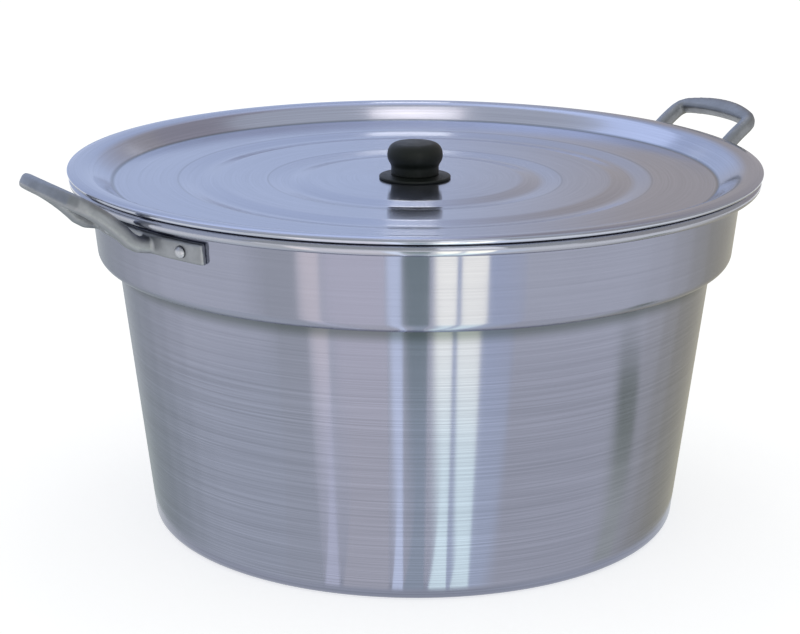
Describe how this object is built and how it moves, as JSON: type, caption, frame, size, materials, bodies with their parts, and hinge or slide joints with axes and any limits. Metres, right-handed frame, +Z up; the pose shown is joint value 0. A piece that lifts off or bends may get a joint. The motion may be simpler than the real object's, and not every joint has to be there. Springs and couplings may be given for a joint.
{
  "type": "stockpot",
  "caption": "Large spun-aluminium stockpot with a tapered body, a wider collar, a rolled rim, a sunk lid with a black knob, and riveted loop handles, for cooking in quantity",
  "frame": {"origin": "Centre of the base, on the surface that the pot stands on", "axes": "+X points out through the right handle and -X through the left one, +Z is up along the pot's axis"},
  "size_m": [0.6348, 0.5344, 0.2998],
  "materials": {
    "spun_aluminium": "spun and lightly polished, with fine turning lines round the axis",
    "cast_aluminium": "cast and tumbled, duller than the sheet",
    "rivet_aluminium": "cold-headed, satin",
    "black_phenolic": "moulded, semi-gloss black",
    "brass_insert": "turned",
    "plated_steel": "zinc plated"
  },
  "bodies": {
    "pot": {"pot_body": "spun_aluminium", "handle_right": "cast_aluminium", "handle_left": "cast_aluminium", "rivet_right_1": "rivet_aluminium", "rivet_right_2": "rivet_aluminium", "rivet_right_3": "rivet_aluminium", "rivet_right_4": "rivet_aluminium", "rivet_left_1": "rivet_aluminium", "rivet_left_2": "rivet_aluminium", "rivet_left_3": "rivet_aluminium", "rivet_left_4": "rivet_aluminium"},
    "lid_set": {"lid": "spun_aluminium", "knob_heat_guard": "black_phenolic", "knob": "black_phenolic", "knob_insert": "brass_insert", "knob_washer": "plated_steel", "knob_screw": "plated_steel"}
  },
  "joints": [
    {"name": "lid_lift", "type": "slide", "parent": "pot", "child": "lid_set", "axis": [0, 0, 1], "range_m": [0, 0.35]}
  ]
}
